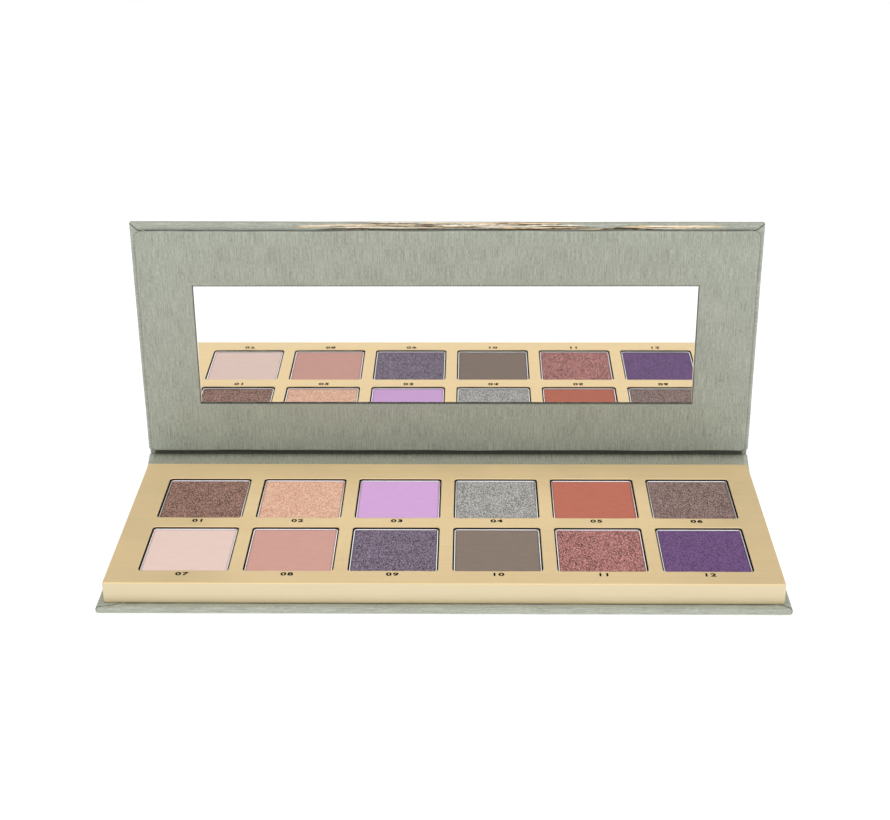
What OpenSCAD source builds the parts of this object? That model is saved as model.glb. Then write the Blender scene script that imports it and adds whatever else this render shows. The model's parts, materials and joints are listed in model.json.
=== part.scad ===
// Twelve-pan eyeshadow palette in a book-style board case.
//
// Origin: centre of the base's underside. +X to the right, -Y towards the user, +Z up.
// The case is three boards in one paper cover, joined by two folds: base, spine and lid.
// It is drawn open: the spine lifted a little off the table, and the lid standing on it.

/* [Case boards and cover] */
// Width of all three boards, covered
case_w = 194; // [188:0.5:210]
// Depth of the base board and of the lid board, covered
board_d = 76.8; // [74:0.2:90]
// Thickness of a board on its own
board_t = 1.5; // [1.2:0.1:2.5]
// Thickness of the cover paper
paper_t = 0.25; // [0.15:0.05:0.3]
// How far the cover paper turns in over the inside of a board
turn_in = 12; // [6:1:20]

/* [Folds] */
// Width of each paper joint, from a board's edge to the fold line
joint_w = 3; // [2.6:0.1:5]
// Free space between a fold line and the spine board
fold_gap = 0.9; // [0.5:0.05:1]
// Angle of the spine above the table as drawn
spine_tilt = 24; // [0:1:60]
// Angle of the lid above the table as drawn
lid_tilt = 90.5; // [75:0.5:120]

/* [Pan tray] */
// Width of the tray
tray_w = 190; // [186:0.5:200]
// Depth of the tray, front to back
tray_d = 74.4; // [72:0.2:88]
// Height of the tray above the base
tray_h = 6.6; // [6:0.1:12]
// Thickness of the foil paper over the tray
foil_t = 0.2; // [0.1:0.05:0.3]
// Thickness of the tray's top card
top_card_t = 0.9; // [0.6:0.1:1.2]
// Thickness of the tray's four walls
wall_t = 1.2; // [0.8:0.1:1.3]
// Thickness of the card that closes the tray underneath
floor_t = 0.5; // [0.3:0.1:0.8]

/* [Windows and pans] */
// Number of pans in a row
columns = 6; // [6:1:6]
// Number of rows
rows = 2; // [2:1:2]
// Side of a square window
window_w = 25.7; // [24:0.1:26]
// Corner radius of a window
window_r = 1.2; // [0.8:0.1:2]
// Distance between window centres along a row
column_pitch = 29.6; // [29:0.1:30]
// Distance between window centres from row to row
row_pitch = 31.4; // [30:0.1:33]
// Gold margin in front of the front row
front_margin = 7; // [7:0.1:9]
// Sideways shift of the windows on the tray
window_shift = 0.5; // [-1:0.1:1]
// Gap between a pan and its window
pan_gap = 0.4; // [0.3:0.05:0.6]
// Height of a pan
pan_h = 3; // [2.6:0.1:3.4]
// Thickness of a pan's sheet metal
pan_t = 0.35; // [0.25:0.05:0.5]
// Depth of a pan's rim below the tray's top
rim_depth = 0.5; // [0.4:0.05:0.8]
// Depth of the powder below the pan's rim
powder_depth = 0.25; // [0.15:0.05:0.4]

/* [Lid panel and mirror] */
// Width of the raised panel inside the lid
panel_w = 191.2; // [186:0.2:194]
// Height of the raised panel
panel_d = 74.6; // [72:0.1:80]
// Thickness of the raised panel with its paper
panel_t = 1.2; // [1.1:0.1:2]
// Thickness of the panel's paper
panel_paper_t = 0.2; // [0.1:0.05:0.3]
// Corner radius of the panel at the lid's free edge
panel_top_r = 2.4; // [0.5:0.1:4]
// Corner radius of the panel beside the joint
panel_foot_r = 1.4; // [0.5:0.1:4]
// Width of the mirror window
mirror_w = 156.8; // [140:0.2:170]
// Height of the mirror window
mirror_d = 40; // [34:0.5:50]
// Height of the mirror window above the panel's lower edge
mirror_up = 16.9; // [12:0.1:20]
// Sideways shift of the mirror window
mirror_shift = -0.4; // [-1:0.1:1]
// Thickness of the mirror
mirror_t = 0.7; // [0.5:0.1:0.8]
// Gap between the mirror and its window
mirror_gap = 0.2; // [0.1:0.05:0.4]
// Thickness of the mirror's adhesive
adhesive_t = 0.1; // [0.05:0.05:0.15]

/* [Magnets] */
// Distance of the two magnets from the middle
magnet_x = 62; // [50:1:75]
// Radius of the tray's magnets
tray_magnet_r = 2.2; // [1.5:0.1:2.4]
// Radius of the lid's magnets
lid_magnet_r = 3; // [2:0.5:3]
// Free space around a magnet
magnet_gap = 0.05; // [0.05:0.01:0.1]

/* [Hidden] */
$fn = 48;

cover_t = board_t + 2 * paper_t;              // a covered board
fold_r = paper_t;                             // the fold's round edge, two papers thick
closed_gap = 0.3;                             // air between the tray and the closed lid
fold_y = board_d / 2 + joint_w;               // the first fold line
spine_l = 2 * (cover_t - fold_r) + tray_h + panel_t + closed_gap; // between the fold lines

tray_y1 = board_d / 2;                        // the tray ends flush with the base's rear edge
tray_y0 = tray_y1 - tray_d;
tray_top = cover_t + tray_h;
card_top = tray_top - foil_t;
carrier_top = card_top - top_card_t;
carrier_bottom = cover_t + floor_t;

pan_w = window_w - 2 * pan_gap;
pan_r = window_r - pan_gap / 2;
pan_bottom = tray_top - rim_depth - pan_h;
glue_t = 0.2;                                 // glue dot under a pan
glue_r = 6;

magnet_t = 0.9;
magnet_y = tray_y0 + 4;                       // in the margin in front of the windows
magnet_up = joint_w + tray_y1 - magnet_y;     // the same place on the closed lid

mirror_y0 = joint_w + mirror_up;
clear = 0.1;                                  // easy fit between glued pieces
cut = 1;                                      // how far a cutting shape runs past a face

PAN_NAMES = ["pan_01", "pan_02", "pan_03", "pan_04", "pan_05", "pan_06",
             "pan_07", "pan_08", "pan_09", "pan_10", "pan_11", "pan_12"];
POWDER_NAMES = ["powder_01", "powder_02", "powder_03", "powder_04", "powder_05", "powder_06",
                "powder_07", "powder_08", "powder_09", "powder_10", "powder_11", "powder_12"];
POWDER_COLOURS = ["#7d5f57", "#dfb199", "#d0a3e0", "#a3a19d", "#bf6a58", "#846f69",
                  "#eacec4", "#d3a297", "#6c667a", "#8b7d72", "#a35f60", "#5e3f86"];

// ---- helpers ----

// A block centred on X, from y0 to y1 and from z0 to z1
module slab(w, y0, y1, z0, z1) {
    translate([-w / 2, y0, z0]) cube([w, y1 - y0, z1 - z0]);
}

// A square with round corners, centred, standing on z = 0
module rounded_block(w, r, h) {
    linear_extrude(h) {
        square([w, w - 2 * r], center = true);
        square([w - 2 * r, w], center = true);
        for (x = [-1, 1], y = [-1, 1])
            translate([x, y] * (w / 2 - r)) circle(r);
    }
}

// Centre of window i: 0 to 5 run along the back row, 6 to 11 along the front row
function window_x(i) = window_shift + (i % columns - (columns - 1) / 2) * column_pitch;
function window_y(i) = tray_y0 + front_margin + window_w / 2 + (rows - 1 - floor(i / columns)) * row_pitch;

// Puts its children at the window centres
module at_windows() {
    for (i = [0 : columns * rows - 1])
        translate([window_x(i), window_y(i), 0]) children();
}

// Puts its children at both magnets, at height y on their sheet
module at_magnets(y) {
    for (side = [-1, 1])
        translate([side * magnet_x, y, 0]) children();
}

// Spine frame: Y runs up the spine from the first fold line, Z is its inner side
module on_spine() {
    translate([0, fold_y, fold_r]) rotate([spine_tilt, 0, 0]) translate([0, 0, -fold_r]) children();
}

// Lid frame: Y runs up the lid from the second fold line, Z is its inner side
module on_lid() {
    on_spine()
        translate([0, spine_l, fold_r]) rotate([lid_tilt - spine_tilt, 0, 0])
            translate([0, 0, -fold_r]) children();
}

// The cover paper round one board, from y = 0 at the fold side to y = board_d
module board_cover() {
    difference() {
        slab(case_w, 0, board_d, 0, cover_t);
        slab(case_w - 2 * paper_t, -cut, board_d - paper_t, paper_t, paper_t + board_t);
        slab(case_w - 2 * turn_in, -cut, board_d - turn_in, paper_t, cover_t + cut);
    }
}

// The bare board inside that cover
module bare_board() {
    slab(case_w - 2 * paper_t, 0, board_d - paper_t, paper_t, paper_t + board_t);
}

// The glue sheet that fills the space between the turned-in papers
module glue_sheet() {
    slab(case_w - 2 * turn_in, 0, board_d - turn_in, paper_t + board_t, cover_t);
}

// Cover and liner glued together across a joint: it lines the board's edge at y = 0 and
// ends in a round edge on the fold line at y = joint_w
module fold_strip() {
    slab(case_w, 0, joint_w, 0, 2 * paper_t);
    slab(case_w, 0, paper_t, 0, cover_t);
    translate([-case_w / 2, joint_w, fold_r]) rotate([0, 90, 0]) cylinder(r = fold_r, h = case_w);
}

// ---- base ----

module base_frame() {
    translate([0, board_d / 2, 0]) mirror([0, 1, 0]) children();
}

module base_board() {
    color("#b9a98c") base_frame() bare_board();
}

module base_cover_paper() {
    color("#b2b4a5") base_frame() board_cover();
}

module base_fold_paper() {
    color("#a5a798") translate([0, board_d / 2, 0]) fold_strip();
}

module tray_glue_sheet() {
    color("#e8e2cf") base_frame() glue_sheet();
}

// ---- spine ----

module spine_board() {
    color("#b9a98c") on_spine()
        slab(case_w - 2 * paper_t, fold_gap, spine_l - fold_gap, paper_t, paper_t + board_t);
}

module spine_cover_paper() {
    color("#b2b4a5") on_spine() difference() {
        slab(case_w, fold_gap, spine_l - fold_gap, 0, cover_t);
        slab(case_w - 2 * paper_t, 0, spine_l, paper_t, cover_t + cut);
    }
}

module spine_liner_paper() {
    color("#a5a798") on_spine()
        slab(case_w - 2 * paper_t, fold_gap, spine_l - fold_gap, paper_t + board_t, cover_t);
}

// ---- lid ----

module lid_board() {
    color("#b9a98c") on_lid() translate([0, joint_w, 0]) bare_board();
}

module lid_cover_paper() {
    color("#b2b4a5") on_lid() translate([0, joint_w, 0]) board_cover();
}

module lid_fold_paper() {
    color("#a5a798") on_lid() translate([0, joint_w, 0]) mirror([0, 1, 0]) fold_strip();
}

module panel_glue_sheet() {
    color("#e8e2cf") on_lid() translate([0, joint_w, 0]) glue_sheet();
}

// The mirror window, wider than the mirror's own opening by `extra` on each side
module mirror_window(extra) {
    translate([mirror_shift, 0, 0])
        slab(mirror_w + 2 * extra, mirror_y0 - extra, mirror_y0 + mirror_d + extra, 0, cover_t + panel_t + cut);
}

// The panel's outline with its round corners, smaller by `inset` all round, from z0 to z1
module panel_block(inset, z0, z1) {
    w = panel_w - 2 * inset;
    y0 = joint_w + inset;
    y1 = joint_w + panel_d - inset;
    foot_r = panel_foot_r - inset;
    top_r = panel_top_r - inset;
    translate([0, 0, z0]) linear_extrude(z1 - z0) {
        translate([-w / 2, y0 + foot_r]) square([w, y1 - top_r - y0 - foot_r]);
        translate([-w / 2 + foot_r, y0]) square([w - 2 * foot_r, foot_r]);
        translate([-w / 2 + top_r, y1 - top_r]) square([w - 2 * top_r, top_r]);
        for (side = [-1, 1]) {
            translate([side * (w / 2 - foot_r), y0 + foot_r]) circle(foot_r);
            translate([side * (w / 2 - top_r), y1 - top_r]) circle(top_r);
        }
    }
}

module panel_board() {
    color("#b9a98c") on_lid() difference() {
        panel_block(panel_paper_t, cover_t, cover_t + panel_t - panel_paper_t);
        mirror_window(panel_paper_t);
        at_magnets(magnet_up) cylinder(r = lid_magnet_r + magnet_gap, h = cover_t + panel_t);
    }
}

module panel_paper() {
    color("#a9ab9d") on_lid() difference() {
        panel_block(0, cover_t, cover_t + panel_t);
        difference() {
            panel_block(panel_paper_t, 0, cover_t + panel_t - panel_paper_t);
            mirror_window(panel_paper_t);
        }
        mirror_window(0);
    }
}

module lid_magnets() {
    color("#8d8f92") on_lid() at_magnets(magnet_up)
        translate([0, 0, cover_t]) cylinder(r = lid_magnet_r, h = magnet_t);
}

// The mirror's outline from z0 to z1
module mirror_sheet(z0, z1) {
    translate([mirror_shift, 0, 0])
        slab(mirror_w - 2 * mirror_gap, mirror_y0 + mirror_gap, mirror_y0 + mirror_d - mirror_gap, z0, z1);
}

module mirror_adhesive() {
    color("#d9d9d4") on_lid() mirror_sheet(cover_t, cover_t + adhesive_t);
}

module mirror_glass() {
    color("#eef1f2") on_lid() mirror_sheet(cover_t + adhesive_t, cover_t + adhesive_t + mirror_t);
}

// ---- tray ----

module tray_foil_paper() {
    color("#dcc399") difference() {
        slab(tray_w, tray_y0, tray_y1, cover_t, tray_top);
        slab(tray_w - 2 * foil_t, tray_y0 + foil_t, tray_y1 - foil_t, 0, card_top);
        at_windows() rounded_block(window_w, window_r, tray_top + cut);
    }
}

module tray_top_card() {
    color("#1d1b1d") difference() {
        slab(tray_w - 2 * foil_t, tray_y0 + foil_t, tray_y1 - foil_t, carrier_top, card_top);
        at_windows() rounded_block(window_w, window_r, tray_top + cut);
    }
}

module tray_walls() {
    color("#b9a98c") difference() {
        slab(tray_w - 2 * foil_t, tray_y0 + foil_t, tray_y1 - foil_t, cover_t, carrier_top);
        slab(tray_w - 2 * foil_t - 2 * wall_t, tray_y0 + foil_t + wall_t, tray_y1 - foil_t - wall_t,
             0, tray_top);
    }
}

// A sheet that fits inside the tray's walls
module inside_walls(z0, z1) {
    side = foil_t + wall_t + clear;
    slab(tray_w - 2 * side, tray_y0 + side, tray_y1 - side, z0, z1);
}

module tray_floor_card() {
    color("#b9a98c") inside_walls(cover_t, carrier_bottom);
}

module pan_carrier() {
    color("#242224") difference() {
        inside_walls(carrier_bottom, carrier_top);
        translate([0, 0, pan_bottom - glue_t]) {
            at_windows() rounded_block(window_w, window_r, tray_h);
        }
        translate([0, 0, carrier_top - magnet_t])
            at_magnets(magnet_y) cylinder(r = tray_magnet_r + magnet_gap, h = tray_h);
    }
}

module tray_magnets() {
    color("#8d8f92") translate([0, 0, carrier_top - magnet_t])
        at_magnets(magnet_y) cylinder(r = tray_magnet_r, h = magnet_t);
}

module pan_glue_dots() {
    color("#e8e2cf") translate([0, 0, pan_bottom - glue_t])
        at_windows() cylinder(r = glue_r, h = glue_t);
}

// Pan number i: a drawn tinplate tray
module pan(i) {
    color("#c9cbd0") translate([window_x(i), window_y(i), pan_bottom]) difference() {
        rounded_block(pan_w, pan_r, pan_h);
        translate([0, 0, pan_t]) rounded_block(pan_w - 2 * pan_t, pan_r - pan_t, pan_h);
    }
}

// The pressed powder in pan number i
module powder(i) {
    color(POWDER_COLOURS[i]) translate([window_x(i), window_y(i), pan_bottom + pan_t])
        rounded_block(pan_w - 2 * pan_t, pan_r - pan_t, pan_h - pan_t - powder_depth);
}

base_board();
base_cover_paper();
base_fold_paper();
spine_board();
spine_cover_paper();
spine_liner_paper();
lid_board();
lid_cover_paper();
lid_fold_paper();
tray_glue_sheet();
tray_floor_card();
tray_walls();
tray_top_card();
tray_foil_paper();
pan_carrier();
pan_glue_dots();
tray_magnets();
panel_glue_sheet();
panel_board();
panel_paper();
lid_magnets();
mirror_glass();
mirror_adhesive();
for (i = [0 : columns * rows - 1]) {
    pan(i);
    powder(i);
}
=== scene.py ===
"""Looks of the twelve-pan eyeshadow palette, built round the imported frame.

Lengths inside the builders are in mm and become metres in make_piece(). The paper case is drawn
laid out flat first: x across, y along the case from the base's front edge to the lid's top edge,
z up from its outer side. fold_base() and fold_lid() then bend it to the pose of the frame.
"""
import json
import math
import random

import bmesh
import bpy
import numpy as np
from mathutils import Matrix, Vector, noise


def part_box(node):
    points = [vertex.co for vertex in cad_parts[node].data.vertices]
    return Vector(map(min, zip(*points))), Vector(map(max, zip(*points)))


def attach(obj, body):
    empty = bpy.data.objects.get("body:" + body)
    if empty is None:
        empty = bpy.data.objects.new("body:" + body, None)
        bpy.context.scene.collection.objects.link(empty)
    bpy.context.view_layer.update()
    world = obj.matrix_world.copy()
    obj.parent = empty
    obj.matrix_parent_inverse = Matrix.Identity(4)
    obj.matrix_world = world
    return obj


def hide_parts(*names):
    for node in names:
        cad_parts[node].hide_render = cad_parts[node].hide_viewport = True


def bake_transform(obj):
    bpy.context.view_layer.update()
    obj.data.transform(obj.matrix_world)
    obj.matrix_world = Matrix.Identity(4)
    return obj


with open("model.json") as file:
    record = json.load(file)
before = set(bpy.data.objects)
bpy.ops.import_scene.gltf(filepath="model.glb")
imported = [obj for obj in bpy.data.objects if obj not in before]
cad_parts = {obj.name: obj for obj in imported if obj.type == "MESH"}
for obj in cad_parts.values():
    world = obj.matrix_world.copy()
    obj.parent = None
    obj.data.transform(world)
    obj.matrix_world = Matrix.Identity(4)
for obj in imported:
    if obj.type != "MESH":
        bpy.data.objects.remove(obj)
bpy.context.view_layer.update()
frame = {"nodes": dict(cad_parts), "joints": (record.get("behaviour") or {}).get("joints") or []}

MM = 0.001
WELD = 0.000002            # points nearer than this, in metres, become one
SHEET_UNIT = 100.0         # mm of paper to one unit of its UV map

# ---- sizes read from the frame, in mm ----


def node_box(node):
    low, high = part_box(node)
    return np.array(low) / MM, np.array(high) / MM


joints = {j["name"]: j for j in frame["joints"]}
PIVOT_1 = np.array(joints["spine_hinge"]["pos_m"], float) / MM
PIVOT_2 = np.array(joints["lid_hinge"]["pos_m"], float) / MM

base_low, base_high = node_box("base_cover_paper")
tray_low, tray_high = node_box("tray_foil_paper")
HALF_W = base_high[0]                       # half the case's width
FRONT_Y = base_low[1]                       # front edge of the base
BOARD_D = base_high[1] - base_low[1]
COVER_T = base_high[2]                      # a covered board's thickness
PAPER_T = 0.25
FOLD_Z = PIVOT_1[2]                         # the fold lines lie this high above the outer side
JOINT_W = PIVOT_1[1] - base_high[1]
SPINE_L = math.hypot(PIVOT_2[1] - PIVOT_1[1], PIVOT_2[2] - PIVOT_1[2])
SPINE_TILT = math.atan2(PIVOT_2[2] - PIVOT_1[2], PIVOT_2[1] - PIVOT_1[1])
LID_TILT = math.radians(90.5)
HALF_CASE = BOARD_D + JOINT_W + SPINE_L / 2  # from a free edge to the middle of the spine
# With the case laid flat: the second fold line, the lid's top edge and its raised panel
FLAT_FOLD_2 = PIVOT_1[1] + SPINE_L
LID_TOP_Y = FLAT_FOLD_2 + JOINT_W + BOARD_D
PANEL_HALF_W = 95.6
PANEL_D = 74.6
PANEL_T = 1.2
PANEL_Y0 = FLAT_FOLD_2 + JOINT_W
PANEL_Y1 = PANEL_Y0 + PANEL_D


# ---- folding the flat case ----


def smooth_step(t):
    t = np.clip(t, 0.0, 1.0)
    return t * t * (3 - 2 * t)


def turn(points, pivot_y, pivot_z, angle):
    """Points turned about the X direction through a pivot, by one angle or by one each."""
    y, z = points[:, 1] - pivot_y, points[:, 2] - pivot_z
    c, s = np.cos(angle), np.sin(angle)
    return np.stack([points[:, 0], pivot_y + y * c - z * s, pivot_z + y * s + z * c], axis=1)


RAMP_1 = (-0.5, 0.5)       # where the first fold's bend starts and ends, measured from its fold line
RAMP_2 = (-0.34, 0.5)      # the same at the second fold
DIR_1 = SPINE_TILT         # direction along which the first bend is measured
DIR_2 = SPINE_TILT + math.radians(12)
LID_TURN = LID_TILT - SPINE_TILT
SETTLE_ROUNDS = 120


def bend_weight(points, pivot, direction, ramp):
    c, s = math.cos(direction), math.sin(direction)
    along = (points[:, 1] - pivot[1]) * c + (points[:, 2] - pivot[2]) * s
    return smooth_step((along - ramp[0]) / (ramp[1] - ramp[0]))


def turn_base(flat, share):
    """Flat points turned about the first fold by a share of its angle."""
    return turn(flat, PIVOT_1[1], PIVOT_1[2], SPINE_TILT * share)


def turn_lid(flat, share):
    """Flat points turned about the second fold by a share of its angle, then with the spine."""
    return turn_base(turn(flat, FLAT_FOLD_2, FOLD_Z, LID_TURN * share), 1.0)


def settle(flat, past_fold, turned, *bend):
    """Each point turned by the share that the bend gives at the place where the point ends up."""
    share = past_fold.astype(float)
    for _ in range(SETTLE_ROUNDS):
        share = 0.5 * share + 0.5 * bend_weight(turned(flat, share), *bend)
    return turned(flat, share)


def fold_base(flat):
    """The half of the case that ends in the base: flat points to the frame's pose."""
    return settle(flat, flat[:, 1] > PIVOT_1[1], turn_base, PIVOT_1, DIR_1, RAMP_1)


def fold_lid(flat):
    """The half of the case that ends in the lid: flat points to the frame's pose."""
    return settle(flat, flat[:, 1] > FLAT_FOLD_2, turn_lid, PIVOT_2, DIR_2, RAMP_2)


def on_lid(flat):
    """Points of a rigid piece on the lid: flat points to the frame's pose."""
    return turn_lid(flat, 1.0)


# ---- mesh helpers ----


def wobble(x, y, length, seed):
    """Smooth unevenness between about -1 and 1 over the points, with bumps `length` mm apart."""
    flat_x, flat_y = np.broadcast_arrays(np.asarray(x, float), np.asarray(y, float))
    out = [noise.noise(Vector((a / length, b / length, seed * 7.31))) * 1.6
           for a, b in zip(flat_x.ravel(), flat_y.ravel())]
    return np.array(out).reshape(flat_x.shape)


def spread(low, high, step, edge):
    """Stations from low to high: the `edge` distances from both ends, then even steps between."""
    edge = np.array(edge, float)
    a, b = low + edge[-1], high - edge[-1]
    count = max(1, int(round((b - a) / step)))
    return np.concatenate([low + edge[:-1], np.linspace(a, b, count + 1), (high - edge[:-1])[::-1]])


def spread_past(marks, step, edge):
    """spread() over each stretch between the marks, joined end to end."""
    runs = [spread(a, b, step, edge) for a, b in zip(marks, marks[1:])]
    return np.concatenate([runs[0]] + [run[1:] for run in runs[1:]])


def round_drop(distance, radius):
    """How far a face with a round edge lies below its level, at a distance from the edge."""
    return radius - np.sqrt(np.clip(radius ** 2 - np.clip(radius - distance, 0, None) ** 2, 0, None))


def rim_lines(grid):
    return grid[0], grid[-1], grid[:, 0], grid[:, -1]


def grid_faces(rows, columns, start=0, flip=False, keep=None):
    faces = []
    for i in range(rows - 1):
        for j in range(columns - 1):
            if keep is not None and not keep[i, j]:
                continue
            a = start + i * columns + j
            quad = (a, a + 1, a + columns + 1, a + columns)
            faces.append(quad[::-1] if flip else quad)
    return faces


class Patches:
    """Grids of points that are welded into one mesh. `crease` is 1 on a line that gathers shadow, painted
    into the colour as shade.
    """

    def __init__(self):
        self.points, self.uvs, self.creases, self.faces, self.count = [], [], [], [], 0

    def store(self, points, uv, creases):
        self.points.append(points)
        self.uvs.append(np.zeros((len(points), 2)) if uv is None else uv.reshape(-1, 2))
        self.creases.append(creases)
        self.count += len(points)

    def add(self, grid, uv=None, flip=False, keep=None, crease=0.0):
        rows, columns = grid.shape[:2]
        self.faces += grid_faces(rows, columns, self.count, flip, keep)
        self.store(grid.reshape(-1, 3), uv, np.broadcast_to(crease, (rows, columns)).ravel())

    def add_loop_cap(self, ring, flip=False):
        """One flat face over a closed ring of points."""
        face = tuple(range(self.count, self.count + len(ring)))
        self.faces.append(face[::-1] if flip else face)
        self.store(ring, None, np.zeros(len(ring)))

    def arrays(self):
        return np.concatenate(self.points), np.concatenate(self.uvs), np.concatenate(self.creases)


def add_object(name, data):
    obj = bpy.data.objects.new(name, data)
    bpy.context.scene.collection.objects.link(obj)
    return obj

def make_piece(name, patches, place=None, material=None, sharp=40.0, shell=0.0, uv=False):
    """A mesh object from the patches: placed, in metres, welded, smooth-shaded."""
    points, uvs, creases = patches.arrays()
    if place is not None:
        points = place(points)
    mesh = bpy.data.meshes.new(name)
    mesh.from_pydata((points * MM).tolist(), [], patches.faces)
    if uv:
        layer = mesh.uv_layers.new(name="sheet")
        index = np.empty(len(mesh.loops), np.int32)
        mesh.loops.foreach_get("vertex_index", index)
        layer.data.foreach_set("uv", (uvs[index] / SHEET_UNIT).astype(np.float32).ravel())
    # the crease values become a point attribute that darkens the paper's colour: painted shade
    if creases.any():
        layer = mesh.attributes.new("crease_painted_shade", "FLOAT", "POINT")
        layer.data.foreach_set("value", creases.astype(np.float32))
    work = bmesh.new()
    work.from_mesh(mesh)
    bmesh.ops.remove_doubles(work, verts=work.verts, dist=WELD)
    loose = [v for v in work.verts if not v.link_faces]
    bmesh.ops.delete(work, geom=loose, context="VERTS")
    bmesh.ops.recalc_face_normals(work, faces=work.faces)
    work.to_mesh(mesh)
    work.free()
    mesh.shade_smooth()
    mesh.set_sharp_from_angle(angle=math.radians(sharp))
    obj = add_object(name, mesh)
    if material is not None:
        mesh.materials.append(material)
    if shell:
        solid = obj.modifiers.new("paper_thickness", "SOLIDIFY")
        solid.thickness = shell * MM
        solid.offset = -1
        solid.use_even_offset = False
    return obj


def round_corners(points, x0, x1, y0, y1, radii):
    """Rounds the plan corners of a rectangle. radii: front left, front right, back left, back right."""
    out = points.copy()
    for k, r in enumerate(radii):
        dx = out[:, 0] - x0 if k % 2 == 0 else x1 - out[:, 0]
        dy = out[:, 1] - y0 if k < 2 else y1 - out[:, 1]
        inside = (dx < r) & (dy < r)
        vx, vy = r - dx[inside], r - dy[inside]
        reach = np.maximum(vx, vy)
        length = np.maximum(np.hypot(vx, vy), 1e-9)
        dx_new, dy_new = r - vx * reach / length, r - vy * reach / length
        out[inside, 0] = x0 + dx_new if k % 2 == 0 else x1 - dx_new
        out[inside, 1] = y0 + dy_new if k < 2 else y1 - dy_new
    return out


# ---- materials ----


def linear(code):
    """A colour written as #rrggbb, in linear light."""
    values = [int(code[k:k + 2], 16) / 255 for k in (1, 3, 5)]
    return tuple(v / 12.92 if v <= 0.04045 else ((v + 0.055) / 1.055) ** 2.4 for v in values) + (1.0,)


def toned(tone, factor=1.0, saturation=0.0):
    """The tone in linear light, scaled, and more saturated, or less with a negative value."""
    colour = linear(tone)[:3]
    return tuple(min(1.0, c * factor * (c / max(colour)) ** saturation) for c in colour) + (1.0,)


def grey(value):
    return (value, value, value, 1.0)


class Look:
    """A node material with a Principled shader and short ways to add its textures."""

    def __init__(self, name, **inputs):
        self.material = bpy.data.materials.new(name)
        self.material.use_nodes = True
        self.tree = self.material.node_tree
        self.shader = next(n for n in self.tree.nodes if n.type == "BSDF_PRINCIPLED")
        self.surface(**inputs)

    def feed(self, socket, value):
        """Sets a number or a colour on the socket, or links a node's output to it."""
        if isinstance(value, (int, float, tuple)):
            socket.default_value = value
        else:
            self.tree.links.new(value, socket)

    def surface(self, **inputs):
        """Feeds the shader's inputs, named with _ for a space."""
        for name, value in inputs.items():
            self.feed(self.shader.inputs[name.replace("_", " ")], value)

    def node(self, kind, **settings):
        n = self.tree.nodes.new(kind)
        for key, value in settings.items():
            setattr(n, key, value)
        return n

    def sheet_place(self):
        return self.node("ShaderNodeUVMap", uv_map="sheet").outputs["UV"]

    def coordinates(self, scale, source=None):
        """Object coordinates, or the source's, scaled along each direction."""
        mapping = self.node("ShaderNodeMapping")
        mapping.inputs["Scale"].default_value = scale
        self.feed(mapping.inputs["Vector"], source or self.node("ShaderNodeTexCoord").outputs["Object"])
        return mapping.outputs["Vector"]

    def texture(self, kind, vector, output, **inputs):
        n = self.node(kind)
        for key, value in dict(inputs, Vector=vector, Scale=1.0).items():
            self.feed(n.inputs[key], value)
        return n.outputs[output]

    def noise(self, vector, detail=3.0, roughness=0.55):
        return self.texture("ShaderNodeTexNoise", vector, "Fac", Detail=detail, Roughness=roughness)

    def split(self, value, kind="XYZ"):
        """The parts of a vector, or of a colour."""
        n = self.node("ShaderNodeSeparate" + kind)
        self.feed(n.inputs[0], value)
        return n.outputs

    def math(self, operation, a, b):
        n = self.node("ShaderNodeMath", operation=operation)
        self.feed(n.inputs[0], a)
        self.feed(n.inputs[1], b)
        return n.outputs[0]

    def total(self, *parts):
        """The sum of outputs, each times its weight: (output, weight) pairs."""
        out, *rest = [self.math("MULTIPLY", output, weight) for output, weight in parts]
        for term in rest:
            out = self.math("ADD", out, term)
        return out

    def ramp(self, fac, *stops):
        """stops: (position, colour) pairs"""
        n = self.node("ShaderNodeValToRGB")
        elements = n.color_ramp.elements
        while len(elements) < len(stops):
            elements.new(0.5)
        for element, (position, colour) in zip(elements, stops):
            element.position, element.color = position, colour
        self.feed(n.inputs["Fac"], fac)
        return n.outputs["Color"]

    def mix(self, fac, a, b, blend="MIX"):
        n = self.node("ShaderNodeMix", data_type="RGBA", blend_type=blend)
        for socket, value in zip((n.inputs[0], n.inputs[6], n.inputs[7]), (fac, a, b)):
            self.feed(socket, value)
        return n.outputs[2]

    def creased(self, colour, shade):
        """The colour, darkened towards `shade` of itself on the mesh's creases: painted shade."""
        value = self.node("ShaderNodeAttribute", attribute_name="crease_painted_shade").outputs["Fac"]
        return self.mix(value, colour, self.mix(1.0, colour, grey(shade), blend="MULTIPLY"))

    def bump(self, height, strength, distance):
        n = self.node("ShaderNodeBump")
        n.inputs["Strength"].default_value = strength
        n.inputs["Distance"].default_value = distance
        self.feed(n.inputs["Height"], height)
        self.surface(Normal=n.outputs["Normal"])


def paper_look(name, tone, along_x):
    """Pearly laid paper. Its fibres run along the sheet's first direction, or along its second."""
    look = Look(name, Specular_IOR_Level=0.4)

    def fibre(length, width):
        along, across = SHEET_UNIT / length, SHEET_UNIT / width
        return look.coordinates((along, across, 1.0) if along_x else (across, along, 1.0), look.sheet_place())

    broad = look.noise(fibre(6.0, 0.28), roughness=0.6)
    fine = look.noise(fibre(1.2, 0.20), detail=2.0, roughness=0.6)
    cloud = look.noise(fibre(14.0, 9.0))
    fibres = look.total((broad, 0.55), (fine, 0.45))
    body = look.ramp(look.total((fibres, 0.88), (cloud, 0.12)),
                     (0.38, toned(tone, 0.7)), (0.5, toned(tone)), (0.62, toned(tone, 1.3)))
    # painted shade on the creases, down to 0.12 of the paper's colour
    look.surface(Base_Color=look.creased(body, 0.12),
                 Roughness=look.ramp(fine, (0.3, grey(0.50)), (0.7, grey(0.66))))
    look.bump(fibres, 0.55, 0.00006)
    return look.material


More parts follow.
